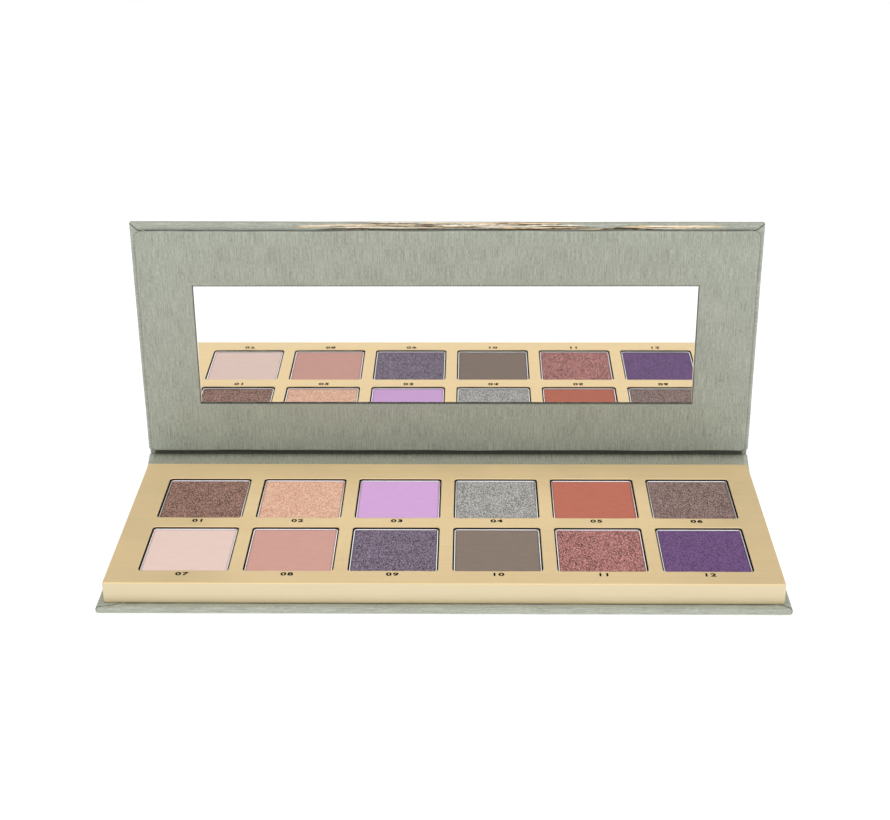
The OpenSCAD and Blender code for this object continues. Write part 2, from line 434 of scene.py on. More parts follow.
def foil_look(name, tone, rough=(0.46, 0.54), metallic=0.4, wall_painted_light_tone=None, wall_top=0.0):
    """Satin gold foil paper with faint roller lines. Below wall_top (mm) it takes the walls' tone instead:
    painted light and reflection on the upright walls, darker towards their foot as painted shade and
    reflection.
    """
    look = Look(name, Metallic=metallic, Specular_IOR_Level=0.5)
    lines = look.noise(look.coordinates((18.0, 900.0, 900.0)))
    cloud = look.noise(look.coordinates((45.0, 60.0, 60.0)))
    grain = look.noise(look.coordinates((2600.0,) * 3), detail=2.0)
    body = look.ramp(look.total((lines, 0.35), (cloud, 0.65)),
                     (0.32, toned(tone, 0.94)), (0.52, toned(tone)), (0.72, toned(tone, 1.05)))
    if wall_painted_light_tone is not None:
        height = look.math("MULTIPLY", look.split(look.coordinates((1.0,) * 3))["Z"], 1.0 / (wall_top * MM))
        foot = COVER_T / wall_top
        # painted light and reflection on the walls, darkened towards the foot as painted shade and reflection
        wall = look.ramp(height, (foot, toned(wall_painted_light_tone, 0.80, 0.55)),
                         (foot + 0.07, toned(wall_painted_light_tone, 0.95, 0.15)), (foot + 0.35, toned(wall_painted_light_tone)))
        body = look.mix(look.math("LESS_THAN", height, 1.0), body, wall)
    look.surface(Base_Color=body,
                 Roughness=look.ramp(cloud, (0.3, grey(rough[0])), (0.7, grey(rough[1]))))
    look.bump(look.total((grain, 0.7), (lines, 0.3)), 0.12, 0.00002)
    return look.material


def plain_look(name, tone, rough=0.8, metallic=0.0, grain=700.0, contrast=0.12, relief=0.25, stretch=1.0,
               specular=0.5):
    """A plain stock material: card, board, glue or metal with its own grain."""
    look = Look(name, Metallic=metallic, Specular_IOR_Level=specular)
    n = look.noise(look.coordinates((grain / stretch, grain, grain)), detail=5.0, roughness=0.6)
    look.surface(
        Base_Color=look.ramp(n, (0.3, toned(tone, 1 - contrast)), (0.7, toned(tone, 1 + contrast))),
        Roughness=look.ramp(n, (0.3, grey(rough * 0.9)), (0.7, grey(min(1, rough * 1.1)))))
    look.bump(n, relief, 0.00004)
    return look.material


RIM_SHADE = 0.72           # a powder is this share as light right beside its pan
RIM_RUN = 1.2              # the shade's ramp ends this far in, in mm


def powder_look(name, tone, kind, dark, light, accent):
    """Pressed powder: matte, or satin or shimmer with flakes, some of them in the accent's tone."""
    look = Look(name)
    from_wall = look.math("MULTIPLY", look.split(look.sheet_place())["X"], SHEET_UNIT / RIM_RUN)
    # painted shade towards the pan's wall: the powder darkens to RIM_SHADE right beside it
    border = look.ramp(from_wall, (0.0, grey(RIM_SHADE)), (0.45, grey(1)))
    if kind == "matte":
        fine = look.noise(look.coordinates((3800.0,) * 3))
        press = look.noise(look.coordinates((260.0, 520.0, 260.0)), detail=4.0)
        both = look.total((fine, 0.5), (press, 0.5))
        body = look.ramp(both, (0.36, toned(tone, dark)), (0.64, toned(tone, light)))
        look.surface(Roughness=0.92, Specular_IOR_Level=0.2)
        look.bump(both, 0.35, 0.00006)
    else:
        shimmer = kind == "shimmer"
        coarse = look.noise(look.coordinates((4300.0, 2900.0, 3600.0)), detail=2.0, roughness=0.6)
        cells = look.texture("ShaderNodeTexVoronoi", look.coordinates((5400.0, 3500.0, 4500.0)), "Color")
        flakes = look.split(cells, "Color")
        cloud = look.noise(look.coordinates((230.0,) * 3))
        value = look.total((coarse, 0.45), (flakes["Red"], 0.40), (cloud, 0.15))
        body = look.ramp(value, (0.41, toned(tone, dark, 0.25)), (0.5, toned(tone)),
                         (0.59, toned(tone, light, -0.1)))
        accented = look.math("MULTIPLY", look.math("GREATER_THAN", flakes["Green"], 0.8), 0.55)
        body = look.mix(accented, body, linear(accent))
        look.surface(Roughness=look.ramp(flakes["Red"], (0.0, grey(0.50)), (1.0, grey(0.76))),
                     Metallic=0.1 if shimmer else 0.0, Specular_IOR_Level=0.22)
        look.bump(look.total((coarse, 0.6), (flakes["Red"], 0.4)), 0.35 if shimmer else 0.25, 0.00005)
    look.surface(Base_Color=look.mix(1.0, body, border, blend="MULTIPLY"))
    return look.material


COVER_TONE = "#aaaea1"
LINER_TONE = "#a0a291"
PANEL_TONE = "#a4a99c"
FOIL_TONE = "#f2d7a5"
# the tray's upright walls get a tone of their own as painted light and reflection
WALL_PAINTED_LIGHT_TONE = "#decfac"
# sRGB tone, kind, how light the dark and the light grains are, accent
POWDERS = [
    ("#7f5f54", "shimmer", 0.36, 2.60, "#b09084"),
    ("#f1b89e", "shimmer", 0.74, 1.34, "#f6d2bb"),
    ("#e1b3e7", "matte", 0.96, 1.03, None),
    ("#9b9996", "shimmer", 0.46, 2.05, "#cfcdc6"),
    ("#c87763", "matte", 0.95, 1.05, None),
    ("#77615c", "shimmer", 0.38, 2.60, "#aa978f"),
    ("#f6d9ce", "matte", 0.97, 1.03, None),
    ("#deaa9e", "matte", 0.95, 1.04, None),
    ("#6a5d6d", "shimmer", 0.36, 2.60, "#8d8496"),
    ("#918176", "matte", 0.94, 1.05, None),
    ("#925f5b", "shimmer", 0.31, 2.90, "#c0938b"),
    ("#6f507e", "satin", 0.60, 1.50, "#705486"),
]

cover_paper = paper_look("cover_paper_pearl", COVER_TONE, along_x=True)
liner_paper = paper_look("liner_paper_pearl", LINER_TONE, along_x=False)
panel_paper = paper_look("panel_paper_pearl", PANEL_TONE, along_x=False)
gold_foil = foil_look("tray_gold_foil", FOIL_TONE, wall_painted_light_tone=WALL_PAINTED_LIGHT_TONE, wall_top=tray_high[2] - 0.3)
black_card = plain_look("black_card_stock", "#161517", rough=0.75, contrast=0.3)
greyboard = plain_look("greyboard_stock", "#8d8478", rough=0.9, grain=500.0, stretch=3.0)
glue = plain_look("dried_glue", "#ddd6c2", rough=0.5, grain=260.0)
magnet_steel = plain_look("magnet_nickel", "#9c9da0", rough=0.35, metallic=1.0, grain=400.0)
tinplate = plain_look("drawn_tinplate", "#f0f0f4", rough=0.3, metallic=1.0, grain=900.0, contrast=0.05,
                      relief=0.08, stretch=6.0)
mirror_silver = plain_look("mirror_silvering", "#f1f2f2", rough=0.012, metallic=1.0, grain=60.0,
                           contrast=0.005, relief=0.0)
ink = plain_look("printing_ink", "#0a0909", rough=0.8, contrast=0.2, specular=0.1)

SLOT_LOOKS = {
    "greyboard": greyboard, "cover_paper": cover_paper, "liner_paper": liner_paper, "glue_sheet": glue,
    "black_card": black_card, "foil_paper": gold_foil, "magnet": magnet_steel, "tinplate": tinplate,
    "mirror": mirror_silver,
}
for number, (tone, kind, *grains) in enumerate(POWDERS, 1):
    SLOT_LOOKS[f"powder_{number:02d}"] = powder_look(f"powder_{number:02d}_{kind}", tone, kind, *grains)

# ---- the paper cover ----

EDGE_R = 0.7               # how round a covered board's edges are
SIDE_REACH = 14.0          # the side flap's rings slant towards the seam over this length
END_REACH = 18.0           # the same on the flap of the free edge
NEAR = 0.8                 # inset at which the outer panel hands over to the wrap
JOINT_WAIST = 0.15         # the case is this much narrower on each side at a joint
WAIST_REACH = 12.0         # the waist pulls on the sheet this far in from the side
CORNER_R = 0.6
FLAP_Z = 2.0               # height of the turned-in flap on a board

# Height of the turned-in flap along the case, from a free edge (0) to the middle of the spine
FLAP_STATIONS = [
    (0.0, FLAP_Z), (75.9, FLAP_Z), (76.4, 1.98), (76.7, 1.93), (76.86, 1.85), (76.95, 1.70), (77.0, 1.42),
    (77.03, 1.05), (77.10, 0.74), (77.25, 0.54), (77.6, 0.44), (78.2, 0.40), (79.2, 0.38), (79.8, 0.38),
    (80.2, 0.39), (80.34, 0.46), (80.42, 0.66), (80.46, 0.95), (80.50, 1.32), (80.56, 1.62), (80.66, 1.79),
    (80.85, 1.87), (81.2, 1.90), (86.0, 1.90),
]
FLAP_T = np.array([s[0] for s in FLAP_STATIONS])
FLAP_H = np.array([s[1] for s in FLAP_STATIONS])
LINER_T = 0.11
LID_SKEW = 0.35            # the lid's top edge isn't quite parallel to its panel

# The corner seam between two flaps, met by the flaps' rings at these insets: its two distances from the
# corner, across and along. LONG_SEAM runs beside the free edge first, MITRE runs straight in.
FLAP_INSETS = [0.8, 1.3, 1.9, 2.6, 5.0, 8.5, 12.0]
LONG_SEAM = [(0.95, 0.62), (2.9, 0.82), (5.0, 1.45), (6.9, 2.4), (9.6, 5.0), (12.4, 8.5), (15.2, 12.0)]
MITRE = [(0.85, 0.8), (1.5, 1.35), (2.2, 1.9), (3.5, 2.3), (6.4, 5.0), (9.8, 8.5), (13.2, 12.0)]
BASE_SEAMS = {-1: LONG_SEAM, 1: MITRE}
LID_SEAMS = {-1: MITRE, 1: MITRE}
FIRST_FLAP_RING = 13       # the wrap's rings before this one lie on the outside and round the edge
CORNER_STATIONS = [0.0, 0.08, 0.16, 0.28, 0.45, 0.65, 0.95, 1.4, 2.2, 3.4, 5.0, 7.5]
BOARD_END = 75.4           # up to here the stations along a board are evenly spread


def flap_height(t):
    return np.interp(t, FLAP_T, FLAP_H)


def waist(t):
    """How far the side edge draws in at the joint."""
    rise = smooth_step((t - 76.7) / 0.5) * (1 - smooth_step((t - 80.0) / 0.6))
    return JOINT_WAIST * rise


def wrap_profile(height):
    """Points of the wrap from the outer panel round the edge and over the inside: (inset, z)."""
    r = min(EDGE_R, height / 2 - 0.002)
    steps = [math.radians(a) for a in (0, 18, 36, 54, 72, 90)]
    lower = [(r - r * math.sin(a), r - r * math.cos(a)) for a in steps]
    upper = [(r - r * math.cos(a), height - r + r * math.sin(a)) for a in steps]
    flap = [(inset, height) for inset in FLAP_INSETS]
    if flap[0][0] <= upper[-1][0] + 1e-3:
        flap[0] = (upper[-1][0] + 0.02, height)
    return np.array([(NEAR, 0.0)] + lower + upper + flap)


def seam_points(profile, seam):
    """Where the wrap's corner ring runs: (distance in x, distance in t) from the corner, z."""
    before = [(inset, inset) for inset in profile[:FIRST_FLAP_RING, 0]]
    return np.column_stack([before + seam, profile[:, 1]])


def wrap_stations():
    corner = CORNER_STATIONS + [10.5, SIDE_REACH]
    body = list(np.linspace(SIDE_REACH, BOARD_END, 26)[1:])
    joint = [t for t in FLAP_T if BOARD_END < t < 81.9]
    extra = [78.7, 79.0, 79.4, 79.6, 79.7, 79.9, 80.05]
    spine = [82.6, 83.6, 84.6, HALF_CASE - 0.02, HALF_CASE + 0.04]      # the halves lap over the middle
    return np.array(sorted(set(corner + body + joint + extra + spine)))


def end_stations():
    corner = CORNER_STATIONS + [11.0, 14.5, END_REACH]
    inner = list(np.linspace(END_REACH, 2 * HALF_W - END_REACH, 62)[1:-1])
    return np.array(corner + inner + [2 * HALF_W - c for c in corner][::-1])


def seam_creases(away, levels):
    """A thin line of painted shade along a corner seam; `away` is the distance of each ring from it."""
    out = np.zeros((len(away), levels))
    out[:, 6:] = np.exp(-(away / 0.24) ** 2)[:, None]
    return out


def plate_creases(profile, gap):
    """The shadow where the flap goes under the plate, which stands back by `gap` from the edge."""
    inset = profile[:, 0] * (np.arange(len(profile)) >= FIRST_FLAP_RING)
    return smooth_step((inset - gap + 0.45) / 0.6)


def side_creases(ts, levels):
    """Where a side wrap gathers shadow: along the corner seam, and in the notches of the joint."""
    out = seam_creases(ts, levels)
    notch = np.exp(-((ts - 77.12) / 0.12) ** 2) + np.exp(-((ts - 80.36) / 0.08) ** 2)
    out[:, 9:] = np.maximum(out[:, 9:], 0.9 * notch[:, None])
    return out


def run_along(profile):
    """The distance run along the profile up to each of its points."""
    return np.concatenate([[0], np.cumsum(np.hypot(*np.diff(profile, axis=0).T))])


def waisted(xs, ts, half_w, border=0.0):
    """The places x of a grid of stations, drawn in at the joint beside the sheet's sides."""
    share = smooth_step((np.abs(xs) - (half_w - WAIST_REACH)) / (WAIST_REACH - border))
    return xs[:, None] - (np.sign(xs) * share)[:, None] * waist(ts)[None, :]


def cover_patches(seams, end_gap, side_gap, side_shade):
    """The cover of one board, its joint and half the spine; t runs from the free edge.
    The plate on the board stands back by end_gap from the free edge and by side_gap from the sides,
    where its shadow is side_shade as deep."""
    patches = Patches()
    ts, qs = wrap_stations(), end_stations()
    ref = wrap_profile(FLAP_Z)
    levels = len(ref)
    corner_rings = {side: seam_points(ref, seams[side]) for side in (-1, 1)}

    # outer panel: its border matches the first ring of each wrap
    near = qs + NEAR * np.clip(1 - qs / END_REACH, 0, None)
    x_in = -HALF_W + np.where(qs > HALF_W, 2 * HALF_W - np.interp(2 * HALF_W - qs, qs, near), near)
    grid = np.zeros((len(qs), len(ts), 3))
    grid[..., 0] = waisted(x_in, ts, HALF_W, NEAR)
    grid[..., 1] = ts + NEAR * np.clip(1 - ts / SIDE_REACH, 0, None)
    patches.add(grid, grid[..., :2])

    # side wraps: the flap stands a little proud beside its seam
    profiles = np.array([wrap_profile(flap_height(t)) for t in ts])
    arcs = np.array([run_along(profile) for profile in profiles])
    z = profiles[..., 1].copy()
    z[:, FIRST_FLAP_RING:] += (0.05 * np.exp(-ts / 1.2) * ((ts > 0) & (ts < 3.5)))[:, None]
    on_plate = (ts > end_gap) & (ts < BOARD_D - 0.4)
    creases = np.maximum(side_creases(ts, levels),
                         side_shade * on_plate[:, None] * plate_creases(ref, side_gap))
    f = np.minimum(1.0, ts / SIDE_REACH)[:, None]
    for side, seam in corner_rings.items():
        inset = profiles[..., 0] * f + seam[:, 0] * (1 - f)
        along = ts[:, None] + seam[:, 1] * (1 - f)
        wrap = np.stack([side * (HALF_W - waist(ts)[:, None] - inset), along, z], axis=-1)
        uv = np.stack([side * (HALF_W - NEAR + arcs), along], axis=-1)
        patches.add(wrap, uv, flip=side > 0, crease=creases)

    # wrap of the free edge
    sides = np.where(qs <= HALF_W, -1, 1)
    seam = np.array([corner_rings[side] for side in sides])
    away = np.minimum(qs, 2 * HALF_W - qs)
    f = np.minimum(1.0, away / END_REACH)[:, None]
    x = sides[:, None] * (HALF_W - away[:, None] - seam[..., 0] * (1 - f))
    along = seam[..., 1] * (1 - f) + ref[:, 0] * f
    wrap = np.stack([x, along, np.broadcast_to(ref[:, 1], x.shape)], axis=-1)
    uv = np.stack([x, np.broadcast_to(NEAR - run_along(ref), x.shape)], axis=-1)
    shade = (away > side_gap) * (0.72 + 0.28 * wobble(qs, 0.0, 7.0, 61))
    creases = np.maximum(seam_creases(away, levels), shade[:, None] * plate_creases(ref, end_gap))
    patches.add(wrap, uv, flip=True, crease=creases)
    return patches


def shape_cover(points, seed, seams, skew=0.0):
    """Rounds the case's corners, cuts the corner seams in, and makes the paper a little uneven.
    The free edge stands out by `skew` more at its left end."""
    out = points.copy()
    dx, t, z = HALF_W - np.abs(points[:, 0]), points[:, 1], points[:, 2]
    for side in (-1, 1):
        seam = seam_points(wrap_profile(FLAP_Z), seams[side])
        for j, (a, b, height) in enumerate(seam[1:], 1):
            at_height = (np.abs(dx - a) < 1e-6) & (np.abs(t - b) < 1e-6) & (np.abs(z - height) < 1e-6)
            on_seam = at_height & (points[:, 0] * side > 0)
            if j >= FIRST_FLAP_RING:
                out[on_seam, 2] -= 0.2
            else:
                out[on_seam, 0] -= side * 0.10 * min(1.0, j / 4)
                out[on_seam, 1] += 0.10 * min(1.0, j / 4)
    out = round_corners(out, -HALF_W, HALF_W, 0.0, 500.0, (CORNER_R, CORNER_R, 0.0, 0.0))
    # unevenness of the free edge, of the sides and of the folded-in flaps
    free = np.exp(-t / 2.5)
    out[:, 1] += 0.05 * free * wobble(points[:, 0], z * 3, 17.0, seed) * (z > 0.05)
    out[:, 1] -= skew * free * np.clip((40.0 - points[:, 0]) / (40.0 + HALF_W), 0, 1)
    side = np.exp(-np.maximum(dx, 0) / 2.5)
    out[:, 0] += 0.05 * side * wobble(t, z * 3, 15.0, seed + 1) * (z > 0.05)
    out[:, 2] += 0.035 * wobble(points[:, 0], t, 11.0, seed + 2) * (z > 1.2)
    return out


def base_half(points):
    return points + [0.0, FRONT_Y, 0.0]


def lid_half(points):
    return points * [1.0, -1.0, 1.0] + [0.0, LID_TOP_Y, 0.0]


def flat_lid_cover(points):
    return lid_half(shape_cover(points, 5, LID_SEAMS, LID_SKEW))


base_cover = make_piece("base_and_joint_cover",
                        cover_patches(BASE_SEAMS, tray_low[1] - FRONT_Y, HALF_W - tray_high[0], 0.7),
                        lambda p: fold_base(base_half(shape_cover(p, 1, BASE_SEAMS))),
                        cover_paper, sharp=38, shell=PAPER_T - 0.01, uv=True)
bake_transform(base_cover)
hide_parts("base_cover_paper", "base_fold_paper", "spine_cover_paper")

lid_cover = make_piece("lid_and_joint_cover",
                       cover_patches(LID_SEAMS, LID_TOP_Y - PANEL_Y1, HALF_W - PANEL_HALF_W, 0.35),
                       lambda p: fold_lid(flat_lid_cover(p)),
                       cover_paper, sharp=38, shell=PAPER_T - 0.01, uv=True)
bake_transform(lid_cover)
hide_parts("lid_cover_paper", "lid_fold_paper")

# ---- the liner across the joints and the spine ----

LINER_HALF_W = HALF_W - 1.5
LINER_START = 76.7


def liner_patches(tuck):
    """`tuck` is how deep the painted shade is on the liner where it goes under the board."""
    patches = Patches()
    ts = np.array([LINER_START] + [t for t in wrap_stations() if t > LINER_START + 0.05])
    xs = spread(-LINER_HALF_W, LINER_HALF_W, 2.5, [0, 0.05, 0.14, 0.3, 0.8, 1.6])
    from_side = np.clip((LINER_HALF_W - np.abs(xs)) / 0.14, 0, 1)
    lift = LINER_T * np.sqrt(np.clip(1 - (1 - from_side) ** 2, 0, 1))
    height = flap_height(ts)[None, :]
    top = np.zeros((len(xs), len(ts), 3))
    top[..., 0] = waisted(xs, ts, LINER_HALF_W)
    top[..., 1] = ts
    under = top.copy()
    top[..., 2] = height + 0.004 + lift[:, None] + 0.03 * wobble(xs[:, None], ts[None, :], 9.0, 31)
    under[..., 2] = height - 0.004
    uv = top[..., :2].copy()
    patches.add(top, uv, crease=tuck * np.exp(-((ts - LINER_START) / 4.2) ** 2))
    patches.add(under, uv, flip=True)
    for low, high, flat in zip(rim_lines(under), rim_lines(top), rim_lines(uv)):
        patches.add(np.stack([low, high]), np.stack([flat, flat]))
    return patches


base_liner = make_piece("base_joint_liner", liner_patches(0.0), lambda p: fold_base(base_half(p)),
                        liner_paper, sharp=50, uv=True)
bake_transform(base_liner)
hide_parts("spine_liner_paper")
# painted shade on the lid's liner below the panel's foot
lid_liner = make_piece("lid_joint_liner", liner_patches(0.88), lambda p: fold_lid(lid_half(p)),
                       liner_paper, sharp=50, uv=True)
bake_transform(lid_liner)

# ---- plates: a raised sheet with round edges, and one window if it has one ----

PLATE_EDGE = [0.0, 0.03, 0.08, 0.15, 0.24, 0.36, 0.55, 0.85, 1.3, 1.9, 2.6]


def plate_patches(rect, z1, edge_r, steps, foot, corners, window=None, window_r=0.3, relief=None,
                  edge=PLATE_EDGE, border=None, foot_crease=0.0):
    """rect: x0, x1, y0, y1. foot: (inset, z) of the wall's lower rings. relief(x, y) adds height on top.
    With a border the sheet coordinate is the distance from the edge."""
    x0, x1, y0, y1 = rect
    wx0, wx1, wy0, wy1 = window or rect
    xs = spread_past((x0, wx0, wx1, x1) if window else (x0, x1), steps, edge)
    ys = spread_past((y0, wy0, wy1, y1) if window else (y0, y1), steps, edge)
    gx, gy = np.meshgrid(xs, ys, indexing="ij")
    from_edge = np.minimum.reduce([gx - x0, x1 - gx, gy - y0, y1 - gy])
    drop = border(from_edge) if border else round_drop(from_edge, edge_r)
    keep = np.ones((len(xs) - 1, len(ys) - 1), bool)
    sill = 0.0
    if window:
        # painted shade along the sill just below the window
        below = wy0 - gy
        over_sill = (gx > wx0 - 0.01) & (gx < wx1 + 0.01) & (below > -0.01)
        sill = 0.85 * over_sill * np.clip((0.30 - below) / 0.14, 0, 1)
        from_window = np.maximum.reduce([wx0 - gx, gx - wx1, wy0 - gy, gy - wy1])
        drop = drop + round_drop(np.clip(from_window, 0, None), window_r)
        mid_x, mid_y = (xs[1:] + xs[:-1]) / 2, (ys[1:] + ys[:-1]) / 2
        keep = ~(((mid_x > wx0) & (mid_x < wx1))[:, None] & ((mid_y > wy0) & (mid_y < wy1)))
    height = z1 - drop
    if relief:
        height = height + relief(gx, gy) * np.clip(from_edge / 0.5, 0, 1)
    top = np.stack([gx, gy, height], axis=-1)
    patches = Patches()

    def rounded(grid):
        return round_corners(grid.reshape(-1, 3), x0, x1, y0, y1, corners).reshape(grid.shape)

    def level(points, inset, z):
        """The points at one height, and no nearer to the outline than the inset."""
        out = points.copy()
        out[..., 0] = np.clip(out[..., 0], x0 + inset, x1 - inset)
        out[..., 1] = np.clip(out[..., 1], y0 + inset, y1 - inset)
        out[..., 2] = z
        return out

    top_uv = top[..., :2].copy()
    if border:
        top_uv[..., 0] = from_edge
    patches.add(rounded(top), top_uv, keep=keep, crease=sill)
    bottom = level(top, *foot[-1])
    has_width, has_depth = np.diff(bottom[:, 0, 0]) > 1e-6, np.diff(bottom[0, :, 1]) > 1e-6
    patches.add(rounded(bottom), top[..., :2], flip=True, keep=keep & has_width[:, None] & has_depth)
    for line in rim_lines(top):
        wall = np.stack([line] + [level(line, inset, z) for inset, z in foot])
        uv = wall[..., :2].copy()
        uv[..., 1] -= z1 - wall[..., 2]
        if border:
            uv[..., 0] = 0.0
        patches.add(rounded(wall), uv, crease=np.reshape(foot_crease, (-1, 1)))
    if window:
        a, b = np.abs(xs - wx0).argmin(), np.abs(xs - wx1).argmin()
        c, d = np.abs(ys - wy0).argmin(), np.abs(ys - wy1).argmin()
        # painted shade on the window's walls, deepest on its lower wall
        for line, shade in ((top[a, c:d + 1], 0.35), (top[b, c:d + 1], 0.35), (top[a:b + 1, c], 0.9),
                            (top[a:b + 1, d], 0.3)):
            low = line.copy()
            low[:, 2] = foot[-1][1]
            patches.add(np.stack([line, low]), np.stack([line[:, :2], low[:, :2]]), crease=shade)
    return patches


# ---- the raised panel and the mirror on the lid ----

MIRROR_HALF_W = 78.4
MIRROR_SHIFT = -0.4
MIRROR_D = 40.0
MIRROR_UP = 16.9           # from the panel's foot to the mirror's lower edge
MIRROR_X = (MIRROR_SHIFT - MIRROR_HALF_W, MIRROR_SHIFT + MIRROR_HALF_W)
MIRROR_Y = (PANEL_Y0 + MIRROR_UP, PANEL_Y0 + MIRROR_UP + MIRROR_D)


def panel_place(points):
    """The panel's wrapped edges are not quite straight."""
    out = points.copy()
    from_side = PANEL_HALF_W - np.abs(points[:, 0])
    from_top, from_foot = PANEL_Y1 - points[:, 1], points[:, 1] - PANEL_Y0
    out[:, 1] += 0.13 * np.exp(-from_top / 1.6) * wobble(points[:, 0], 0.0, 13.0, 41)
    out[:, 1] += 0.20 * np.exp(-from_foot / 1.6) * wobble(points[:, 0], 0.0, 19.0, 42)
    out[:, 0] += 0.10 * np.exp(-from_side / 1.6) * wobble(points[:, 1], 0.0, 16.0, 43)
    return on_lid(out)


# The undercut foot of the panel's wall is darkened through foot_crease: painted shade.
panel = make_piece(
    "lid_panel_cover",
    plate_patches((-PANEL_HALF_W, PANEL_HALF_W, PANEL_Y0, PANEL_Y1), COVER_T + PANEL_T, 0.5, 2.4,
                  foot=[(0.0, COVER_T + 0.55), (0.04, COVER_T + 0.40), (0.10, COVER_T + 0.20),
                        (0.17, COVER_T + 0.01)], foot_crease=(0.0, 0.8, 1.0, 1.0, 1.0),
                  corners=(1.4, 1.4, 2.4, 2.4), window=(*MIRROR_X, *MIRROR_Y), window_r=0.28,
                  relief=lambda x, y: 0.03 * wobble(x, y, 19.0, 44)),
    panel_place, panel_paper, sharp=42, uv=True)
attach(panel, "lid")
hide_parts("panel_paper")

# ---- foil streaks over the lid's top edge and down its outside ----

STREAK_LIFT = 0.03
FLAP_RUN = LID_TOP_Y - PANEL_Y1 - EDGE_R   # the flat margin above the panel
ARC_RUN = EDGE_R * math.pi / 2
FACE_RUN = COVER_T - 2 * EDGE_R


def over_edge(a):
    """The lid's surface at the distance a from its panel, over the free edge and down the outside.
    Returns t and z there, and the direction out of the paper."""
    if a < FLAP_RUN:
        return FLAP_RUN + EDGE_R - a, COVER_T, 0.0, 1.0
    a -= FLAP_RUN
    if a < ARC_RUN:
        s, c = math.sin(a / EDGE_R), math.cos(a / EDGE_R)
        return EDGE_R - EDGE_R * s, COVER_T - EDGE_R + EDGE_R * c, -s, c
    a -= ARC_RUN
    if a < FACE_RUN:
        return 0.0, COVER_T - EDGE_R - a, -1.0, 0.0
    a -= FACE_RUN
    if a < ARC_RUN:
        s, c = math.sin(a / EDGE_R), math.cos(a / EDGE_R)
        return EDGE_R - EDGE_R * c, EDGE_R - EDGE_R * s, -c, -s
    a -= ARC_RUN
    return EDGE_R + a, 0.0, 0.0, -1.0


def add_streak(patches, x0, x1, a, width, seed, lift, drift=0.16, ragged=0.6):
    """A tapered streak from x0 to x1, its middle at the distance a from the panel."""
    xs = np.linspace(x0, x1, max(14, int((x1 - x0) / 0.45)))
    f = (xs - x0) / (x1 - x0)
    taper = np.clip(np.minimum(f / 0.12, (1 - f) / 0.3), 0.02, 1) ** 0.8
    middle = a + drift * wobble(xs, 0.0, 13.0, seed)
    rows = []
    for share in np.linspace(-0.5, 0.5, 5):
        breadth = width * taper * (0.85 + ragged * wobble(xs, 9.0 * share, 1.3, seed + 0.4))
        across = np.maximum(middle + share * breadth, 0.12)
        surface = np.array([over_edge(v) for v in across])
        place = surface[:, :2] + lift * surface[:, 2:]
        rows.append(np.column_stack([xs, place]))
    patches.add(np.array(rows))


# Streaks in view above the panel: x from and to, distance from the panel, width
EDGE_STREAKS = {
    "peach": [(-47, -16, 1.15, 0.5), (-38, 2, 1.75, 0.42), (-22, 22, 1.0, 0.42), (-8, 38, 2.1, 0.8),
              (0, 20, 1.3, 0.4), (16, 44, 0.7, 0.55), (40, 56, 0.45, 0.35), (54, 86, 1.0, 1.0),
              (-30, 4, 2.8, 0.5), (12, 50, 2.9, 0.5)],
    "bronze": [(-40, 10, 0.34, 0.42), (-36, -14, 1.45, 0.24), (-26, 8, 1.95, 0.26), (-10, 24, 1.4, 0.3),
               (4, 46, 0.38, 0.46), (12, 36, 1.75, 0.34), (28, 46, 1.1, 0.34), (46, 66, 0.34, 0.4),
               (50, 70, 0.75, 0.3), (-2, 12, 0.85, 0.26), (-18, 0, 1.05, 0.2), (20, 32, 0.9, 0.24)],
    "cream": [(-45, -20, 1.45, 0.26), (-34, -4, 0.85, 0.26), (-24, 20, 2.35, 0.42), (-4, 22, 1.62, 0.34),
              (8, 34, 1.05, 0.26), (24, 44, 1.5, 0.3), (60, 82, 1.3, 0.4), (58, 74, 0.55, 0.2)],
}
OUTER_RUN = FLAP_RUN + 2 * ARC_RUN + FACE_RUN
OUTER_STREAKS = {"peach": 24, "bronze": 6, "cream": 12}
streak_looks = {
    "peach": foil_look("streak_foil_peach", "#dfc59e", rough=(0.32, 0.42), metallic=0.3),
    "bronze": foil_look("streak_foil_bronze", "#5a431f", rough=(0.34, 0.44), metallic=0.4),
    "cream": foil_look("streak_foil_cream", "#fbf1dd", rough=(0.36, 0.46), metallic=0.1),
}
draw = random.Random(17)
for layer, (kind, streaks) in enumerate(EDGE_STREAKS.items()):
    patches = Patches()
    lift = STREAK_LIFT + 0.012 * layer
    for k, (x0, x1, a, width) in enumerate(streaks):
        add_streak(patches, x0, x1, a, width, 100 + 20 * layer + k, lift)
    for k in range(OUTER_STREAKS[kind]):
        start = draw.uniform(-74.0, 30.0)
        length = draw.uniform(24.0, 62.0)
        depth = OUTER_RUN - 0.4 + 13.0 * draw.random() ** 1.6
        add_streak(patches, start, start + length, depth, draw.uniform(0.25, 0.95), 200 + 40 * layer + k,
                   lift, drift=0.25, ragged=0.22)
    piece = make_piece(f"lid_streaks_{kind}", patches, lambda p: on_lid(flat_lid_cover(p)),
                       streak_looks[kind], sharp=60)
    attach(piece, "lid")

# ---- the mirror ----

MIRROR_GAP = 0.2
MIRROR_TILT = math.radians(0.15)             # the mirror lies this far out of the panel's plane


def tilted(points):
    """The mirror's points, flat in the panel's plane, turned about the mirror's middle line."""
    out = points.copy()
    out[:, 2] += math.tan(MIRROR_TILT) * (out[:, 1] - (MIRROR_Y[0] + MIRROR_Y[1]) / 2)
    return out


